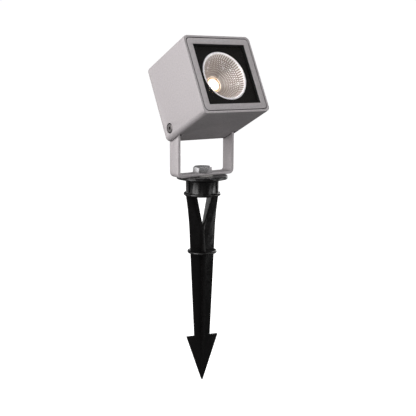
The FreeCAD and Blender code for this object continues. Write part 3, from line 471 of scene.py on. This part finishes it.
def softened(node, name, body, slot, material, width):
    """A copy of a CAD node's shape with its sharp edges rounded, as casting or moulding leaves them."""
    mesh = nodes[node].data.copy()
    shape = bmesh.new()
    shape.from_mesh(mesh)
    bmesh.ops.remove_doubles(shape, verts=shape.verts, dist=SAME_PLACE)
    bmesh.ops.dissolve_limit(
        shape, angle_limit=FLAT_ENOUGH, verts=shape.verts, edges=shape.edges
    )
    shape.to_mesh(mesh)
    shape.free()
    mesh.polygons.foreach_set("use_smooth", [True] * len(mesh.polygons))
    piece = new_piece(name, mesh, body, slot, material, node)
    bevel = piece.modifiers.new("edges", "BEVEL")
    bevel.width = width
    bevel.segments = EDGE_SEGMENTS
    bevel.limit_method = "ANGLE"
    bevel.angle_limit = EDGE_ANGLE
    bevel.harden_normals = True
    apply_modifiers(piece)


def apply_modifiers(piece):
    depsgraph = bpy.context.evaluated_depsgraph_get()
    depsgraph.update()
    mesh = bpy.data.meshes.new_from_object(piece.evaluated_get(depsgraph))
    piece.modifiers.clear()
    piece.data = mesh


# ---------------------------------------------------------------- reflector
FLUTES = 56                     # round the bowl, and facets in each row below them
FLUTE_END = 0.28                # of the bowl's depth, where the flutes give way to facets
FACET_ROWS = 8
FACET_DEPTH = 0.36 * MM         # how far a facet's middle stands into the bowl, at the rim
FACET_CURVE = 1.5               # power of a facet's rounding across
FACET_FALL = 0.7                # how much lower a facet's upper and lower ends are
FLUTE_CURVE = 6                 # power of a flute's rounding at its ends
RIM_W = 1.6 * MM
RIM_ROUND = 0.55 * MM
NECK_R = 8.0 * MM
BOWL_WALL = 0.8 * MM
FLANGE_W = 2.5 * MM
FLANGE_FRONT = 1.1 * MM         # behind the rim's crest
FLANGE_BACK = 1.9 * MM
STEPS_ACROSS = 8                # points across a flute or facet
STEPS_ALONG = 7                 # and along a facet
STEPS_IN_FLUTE = 12
STEPS_OUTSIDE = 12              # up the outside of the bowl
STEPS_ROUND_RIM = 12


class Lathe:
    """Rings of points about the lamp's axis, in the level head's frame, joined into a skin."""

    def __init__(self, front, axis_z, columns):
        self.shape = bmesh.new()
        self.front = front
        self.axis_z = axis_z
        self.columns = columns
        self.rings = []

    def ring(self, radius, depth, lift=None):
        made = []
        for i in range(self.columns):
            turn = 2 * math.pi * i / self.columns
            r, y = radius, depth
            if lift:
                inward, forward = lift(i)
                r, y = r - inward, y - forward
            place = (r * math.cos(turn), self.front + y, self.axis_z + r * math.sin(turn))
            made.append(self.shape.verts.new(place))
        self.rings.append(made)

    def closed_mesh(self, name):
        """The rings joined in order, and the last to the first, turned into the head's place."""
        for a, b in zip(self.rings, self.rings[1:] + self.rings[:1]):
            for i in range(self.columns):
                j = (i + 1) % self.columns
                self.shape.faces.new((a[i], a[j], b[j], b[i]))
        bmesh.ops.recalc_face_normals(self.shape, faces=self.shape.faces)
        mesh = bpy.data.meshes.new(name)
        self.shape.to_mesh(mesh)
        self.shape.free()
        mesh.transform(HEAD)
        mesh.polygons.foreach_set("use_smooth", [True] * len(mesh.polygons))
        return mesh


def facet_lift(row, v, steepness, size):
    """How far each point of a row of facets is pushed into the bowl; odd rows are staggered."""
    along = 1 - v**FLUTE_CURVE if row == 0 else 1 - FACET_FALL * v * v

    def lift(i):
        u = 2 * ((i / STEPS_ACROSS + 0.5 * (row % 2)) % 1.0) - 1
        height = FACET_DEPTH * size * (1 - abs(u) ** FACET_CURVE) * along
        return height * steepness.x, height * steepness.y

    return lift


def make_bowl(front, axis_z, rim_r, depth, material):
    """A parabolic bowl with a row of flutes at the rim, facets below them and a flange behind."""
    bowl_r = rim_r - RIM_W

    def bowl_radius(share):
        return math.sqrt(NECK_R**2 + (bowl_r**2 - NECK_R**2) * (1 - share))

    bowl = Lathe(front, axis_z, FLUTES * STEPS_ACROSS)
    rows = [FLUTE_END + (1 - FLUTE_END) * i / FACET_ROWS for i in range(FACET_ROWS + 1)]
    for row, (start, end) in enumerate(zip([0.0] + rows, rows)):
        steps = STEPS_ALONG if row else STEPS_IN_FLUTE
        for step in range(steps + (row == FACET_ROWS)):
            v = 2 * step / steps - 1
            share = start + (end - start) * step / steps
            radius = bowl_radius(share)
            slope = (bowl_r**2 - NECK_R**2) / (2 * radius)
            steepness = Vector((depth, slope)).normalized()
            lift = facet_lift(row, v, steepness, radius / bowl_r)
            bowl.ring(radius, RIM_ROUND + (depth - RIM_ROUND) * share, lift)
    for step in range(STEPS_OUTSIDE, -1, -1):
        share = step / STEPS_OUTSIDE
        if depth * share > FLANGE_BACK:
            bowl.ring(bowl_radius(share) + BOWL_WALL, depth * share)
    bowl.ring(rim_r - BOWL_WALL, FLANGE_BACK)
    bowl.ring(rim_r + FLANGE_W, FLANGE_BACK)
    bowl.ring(rim_r + FLANGE_W, FLANGE_FRONT)
    bowl.ring(rim_r - BOWL_WALL, FLANGE_FRONT)
    mesh = bowl.closed_mesh("faceted_reflector")
    new_piece("faceted_reflector", mesh, "head", "reflector_metal", material, "reflector")


def make_rim(front, axis_z, rim_r, material):
    """The bowl's bright rolled rim, pale metal with a faint painted glow, round in front and flat behind."""
    rim = Lathe(front, axis_z, FLUTES * 2)
    rim.ring(rim_r - BOWL_WALL, FLANGE_FRONT)
    rim.ring(rim_r, FLANGE_FRONT)
    middle = rim_r - RIM_W / 2
    for step in range(STEPS_ROUND_RIM + 1):
        turn = math.pi * step / STEPS_ROUND_RIM
        rim.ring(middle + RIM_W / 2 * math.cos(turn), RIM_ROUND * (1 - math.sin(turn)))
    mesh = rim.closed_mesh("reflector_rim")
    new_piece("reflector_rim", mesh, "head", "reflector_metal", material)


def make_reflector(materials):
    low, high = level_box("reflector")
    axis_z = (low.z + high.z) / 2
    rim_r = (high.x - low.x) / 2 - FLANGE_W
    make_bowl(low.y, axis_z, rim_r, high.y - low.y, materials["reflector_metal"])
    make_rim(low.y, axis_z, rim_r, materials["reflector_rim"])


# ---------------------------------------------------------------- the scene
def make_pieces(materials):
    for node, name, body, slot, width in SOFTENED:
        softened(node, name, body, slot, materials[slot], width * MM)
    make_reflector(materials)


make_camera()
make_world()
make_lights()
make_floor()
materials = make_materials()
paint_nodes(materials)
make_pieces(materials)
